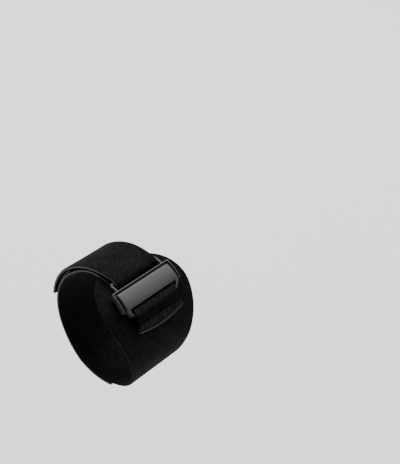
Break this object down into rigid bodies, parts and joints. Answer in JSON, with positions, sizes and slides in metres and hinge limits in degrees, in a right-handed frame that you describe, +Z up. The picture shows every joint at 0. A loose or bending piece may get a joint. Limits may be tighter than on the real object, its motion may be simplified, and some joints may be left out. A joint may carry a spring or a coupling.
{
  "type": "tennis elbow strap",
  "caption": "Counterforce strap: a wide padded band with a round lobe, closed by a strap that runs through a plastic buckle and folds back on itself, shown worn.",
  "frame": {"origin": "middle of the loop, on the axis of the forearm that holds it, level with the middle of the strap's width", "axes": "+X through the loop toward its tighter end, which is worn toward the hand; -Y the front, where the buckle faces; +Z up"},
  "size_m": [0.0682, 0.0867, 0.0988],
  "materials": {
    "pad_fabric": "brushed loop fabric, charcoal black",
    "strap_laminate": "brushed loop fabric over foam, charcoal black, brown-grey foam at the cut edges",
    "hook_tape": "stiff black hook tape",
    "webbing": "ribbed black webbing",
    "buckle_plastic": "satin dark grey moulded plastic"
  },
  "bodies": {
    "root": {"pad": "pad_fabric", "closing_strap": "strap_laminate", "hook_tab": "hook_tape", "buckle_loop": "webbing", "buckle": "buckle_plastic"}
  },
  "joints": []
}
